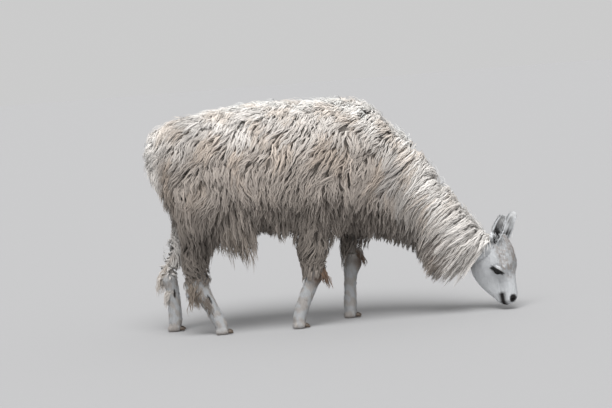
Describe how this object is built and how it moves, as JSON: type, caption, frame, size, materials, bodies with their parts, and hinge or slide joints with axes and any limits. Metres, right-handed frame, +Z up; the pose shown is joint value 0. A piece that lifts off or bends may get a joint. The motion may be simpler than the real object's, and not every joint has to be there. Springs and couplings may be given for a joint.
{
  "type": "llama, still model",
  "caption": "Life-size still model of a woolly pale llama grazing, head lowered to the ground and turned a little to its right.",
  "frame": {"origin": "on the ground, at the middle of the model's floor plan", "axes": "+X forwards, from the tail towards the head; +Y to the animal's left; +Z up"},
  "size_m": [1.846, 0.5156, 1.134],
  "materials": {
    "fleece": "long soft wavy wool in locks, cream to dusty grey-beige",
    "short_hair": "short dense white-grey hair",
    "eye": "wet dark brown, glossy",
    "horn": "dull dark horn"
  },
  "bodies": {
    "root": {"trunk": "fleece", "neck": "fleece", "head": "short_hair", "ear_right": "short_hair", "ear_left": "short_hair", "eye_right": "eye", "eye_left": "eye", "tail": "fleece", "forearm_right": "fleece", "cannon_fore_right": "short_hair", "foot_fore_right": "short_hair", "nail_fore_right_a": "horn", "nail_fore_right_b": "horn", "forearm_left": "fleece", "cannon_fore_left": "short_hair", "foot_fore_left": "short_hair", "nail_fore_left_a": "horn", "nail_fore_left_b": "horn", "thigh_right": "fleece", "cannon_hind_right": "short_hair", "foot_hind_right": "short_hair", "nail_hind_right_a": "horn", "nail_hind_right_b": "horn", "thigh_left": "fleece", "cannon_hind_left": "short_hair", "foot_hind_left": "short_hair", "nail_hind_left_a": "horn", "nail_hind_left_b": "horn"}
  },
  "joints": []
}
